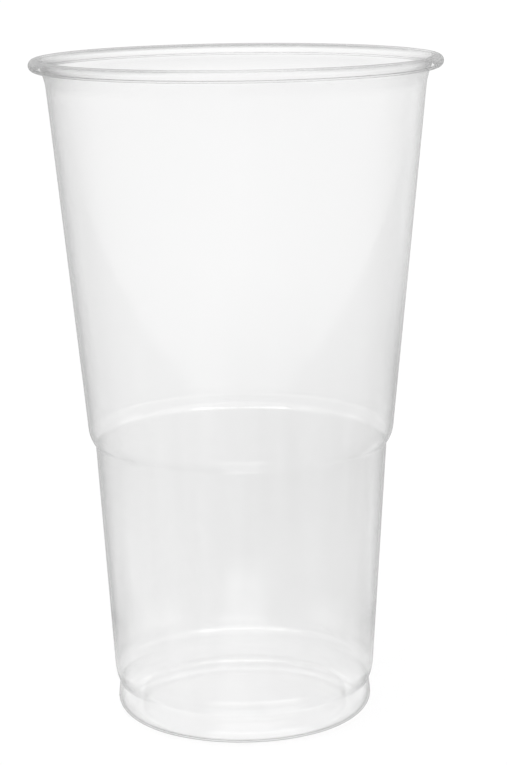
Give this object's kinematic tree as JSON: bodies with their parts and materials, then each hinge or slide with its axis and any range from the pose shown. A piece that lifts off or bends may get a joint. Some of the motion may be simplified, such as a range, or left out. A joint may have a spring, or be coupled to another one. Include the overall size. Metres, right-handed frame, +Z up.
{
  "type": "disposable cup",
  "caption": "Clear thin-walled disposable plastic tumbler, tapered, with a rolled lip, a step under the upper wall, a stepped foot and a raised base.",
  "frame": {"origin": "on the cup's axis, in the plane of the foot ring that it stands on", "axes": "+Z up along the cup's axis, from the foot to the lip; +X and +Y are any two level directions, because the cup is a solid of revolution"},
  "size_m": [0.095, 0.095, 0.1558],
  "materials": {
    "clear_plastic": "glossy, clear with a slight milky haze"
  },
  "bodies": {
    "root": {"cup": "clear_plastic"}
  },
  "joints": []
}
